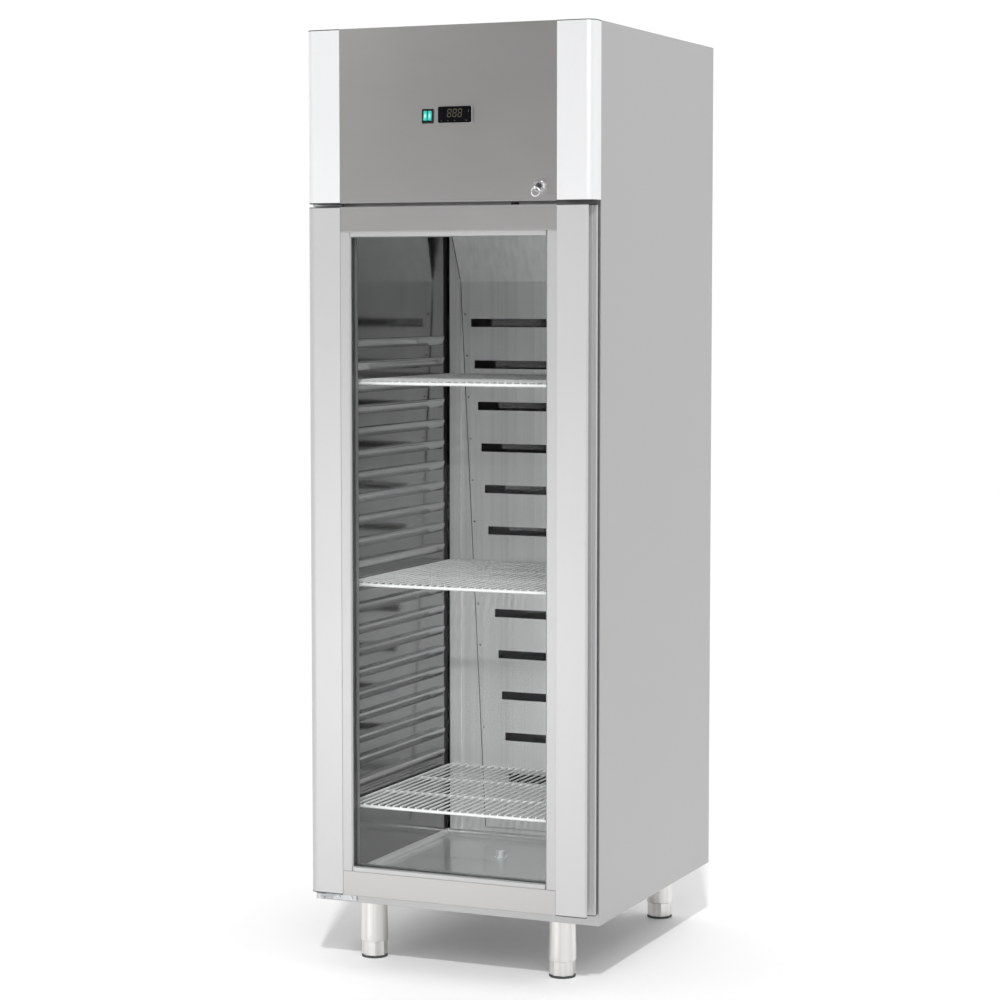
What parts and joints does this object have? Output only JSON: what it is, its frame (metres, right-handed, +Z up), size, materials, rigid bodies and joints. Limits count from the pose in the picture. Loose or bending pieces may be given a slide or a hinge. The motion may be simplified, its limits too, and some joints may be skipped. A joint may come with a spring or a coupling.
{
  "type": "proofing cabinet",
  "caption": "Upright insulated cabinet with a glazed hinged door, wire shelves, slotted air duct and a control head, for proofing dough in warm moist air.",
  "frame": {"origin": "on the floor, under the middle of the whole cabinet's box", "axes": "+Z up, -Y towards the door, +X to the right of someone facing the door"},
  "size_m": [0.66, 0.786, 2.01],
  "materials": {
    "outer_steel": "satin",
    "liner_steel": "gloss",
    "floor_steel": "gloss",
    "duct_steel": "gloss",
    "panel_steel": "satin",
    "foam": "matte",
    "head_aluminium": "satin",
    "door_aluminium": "satin",
    "lock_core": "gloss",
    "dark_cap": "matte",
    "galvanised_sheet": "satin",
    "fan_alloy": "satin",
    "motor_paint": "matte",
    "heater_sheath": "matte",
    "white_plastic": "satin",
    "steam_steel": "satin",
    "valve_plastic": "satin",
    "lamp_cover": "satin",
    "bright_fixings": "gloss",
    "leg_steel": "satin",
    "controller_rim": "gloss",
    "display_black": "gloss",
    "switch_black": "satin",
    "rocker_green": "gloss",
    "chrome": "gloss",
    "door_glass": "gloss",
    "glazing_spacer": "satin",
    "seal_rubber": "matte",
    "shelf_coating": "gloss"
  },
  "bodies": {
    "cabinet": {"side_panel_left": "outer_steel", "side_panel_right": "outer_steel", "back_panel": "outer_steel", "rear_grille": "outer_steel", "roof_panel": "outer_steel", "base_panel": "outer_steel", "front_rails": "outer_steel", "foam_insulation": "foam", "liner_walls": "liner_steel", "liner_ceiling": "liner_steel", "liner_floor": "floor_steel", "tray_guides": "liner_steel", "false_back": "duct_steel", "duct_panel": "duct_steel", "head_profiles": "head_aluminium", "head_end_caps": "dark_cap", "deck_panel": "outer_steel", "air_box": "galvanised_sheet", "fan_motor": "motor_paint", "heater_element": "heater_sheath", "humidifier_tank": "white_plastic", "steam_pipe": "steam_steel", "water_valve": "valve_plastic", "electric_box": "galvanised_sheet", "cable_gland": "dark_cap", "lamp": "lamp_cover", "hinge_brackets": "galvanised_sheet", "hinge_pins": "bright_fixings", "leg_sleeves": "leg_steel", "drain_pipe": "white_plastic", "door_switch": "dark_cap", "screws": "bright_fixings"},
    "fan": {"fan_wheel": "fan_alloy"},
    "service_panel": {"service_panel": "panel_steel", "controller_case": "controller_rim", "controller_lens": "display_black", "switch_frame": "switch_black", "lock_body": "chrome"},
    "rocker_left": {"rocker_left": "rocker_green"},
    "rocker_right": {"rocker_right": "rocker_green"},
    "lock": {"lock_plug": "lock_core", "key": "chrome"},
    "key_ring": {"key_ring": "chrome"},
    "door": {"door_stile_hinge": "door_aluminium", "door_stile_grip": "door_aluminium", "door_rails": "panel_steel", "door_beads": "panel_steel", "glass_panes": "door_glass", "glass_spacer": "glazing_spacer", "door_gasket": "seal_rubber", "door_end_caps": "dark_cap", "hinge_bushes": "white_plastic"},
    "shelf_low": {"shelf_low": "shelf_coating"},
    "shelf_middle": {"shelf_middle": "shelf_coating"},
    "shelf_high": {"shelf_high": "shelf_coating"},
    "drain_plug": {"drain_plug": "white_plastic"},
    "foot_front_left": {"foot_front_left": "leg_steel"},
    "foot_front_right": {"foot_front_right": "leg_steel"},
    "foot_rear_left": {"foot_rear_left": "leg_steel"},
    "foot_rear_right": {"foot_rear_right": "leg_steel"}
  },
  "joints": [
    {"name": "door_hinge", "type": "hinge", "parent": "cabinet", "child": "door", "pos_m": [-0.31, -0.347, 0.9], "axis": [0, 0, -1], "range_deg": [0, 110]},
    {"name": "service_panel_hinge", "type": "hinge", "parent": "cabinet", "child": "service_panel", "pos_m": [0, -0.355, 2.002], "axis": [-1, 0, 0], "range_deg": [0, 80]},
    {"name": "rocker_left_tilt", "type": "hinge", "parent": "service_panel", "child": "rocker_left", "pos_m": [-0.0471, -0.359, 1.822], "axis": [1, 0, 0], "range_deg": [0, 16]},
    {"name": "rocker_right_tilt", "type": "hinge", "parent": "service_panel", "child": "rocker_right", "pos_m": [-0.0369, -0.359, 1.822], "axis": [1, 0, 0], "range_deg": [0, 16]},
    {"name": "lock_turn", "type": "hinge", "parent": "service_panel", "child": "lock", "pos_m": [0.212, -0.363, 1.673], "axis": [0, -1, 0], "range_deg": [0, 90]},
    {"name": "key_ring_swing", "type": "hinge", "parent": "lock", "child": "key_ring", "pos_m": [0.212, -0.388, 1.67], "axis": [1, 0, 0], "range_deg": [-60, 40]},
    {"name": "fan_spin", "type": "hinge", "parent": "cabinet", "child": "fan", "pos_m": [0, 0.192, 1.7], "axis": [0, 0, 1], "continuous": true},
    {"name": "shelf_low_lift", "type": "slide", "parent": "cabinet", "child": "shelf_low", "axis": [0, 0, 1], "range_m": [0, 0.012]},
    {"name": "shelf_middle_lift", "type": "slide", "parent": "cabinet", "child": "shelf_middle", "axis": [0, 0, 1], "range_m": [0, 0.012]},
    {"name": "shelf_high_lift", "type": "slide", "parent": "cabinet", "child": "shelf_high", "axis": [0, 0, 1], "range_m": [0, 0.012]},
    {"name": "drain_plug_lift", "type": "slide", "parent": "cabinet", "child": "drain_plug", "axis": [0, 0, 1], "range_m": [0, 0.03]},
    {"name": "foot_front_left_screw", "type": "slide", "parent": "cabinet", "child": "foot_front_left", "axis": [0, 0, -1], "range_m": [0, 0.025]},
    {"name": "foot_front_right_screw", "type": "slide", "parent": "cabinet", "child": "foot_front_right", "axis": [0, 0, -1], "range_m": [0, 0.025]},
    {"name": "foot_rear_left_screw", "type": "slide", "parent": "cabinet", "child": "foot_rear_left", "axis": [0, 0, -1], "range_m": [0, 0.025]},
    {"name": "foot_rear_right_screw", "type": "slide", "parent": "cabinet", "child": "foot_rear_right", "axis": [0, 0, -1], "range_m": [0, 0.025]}
  ]
}
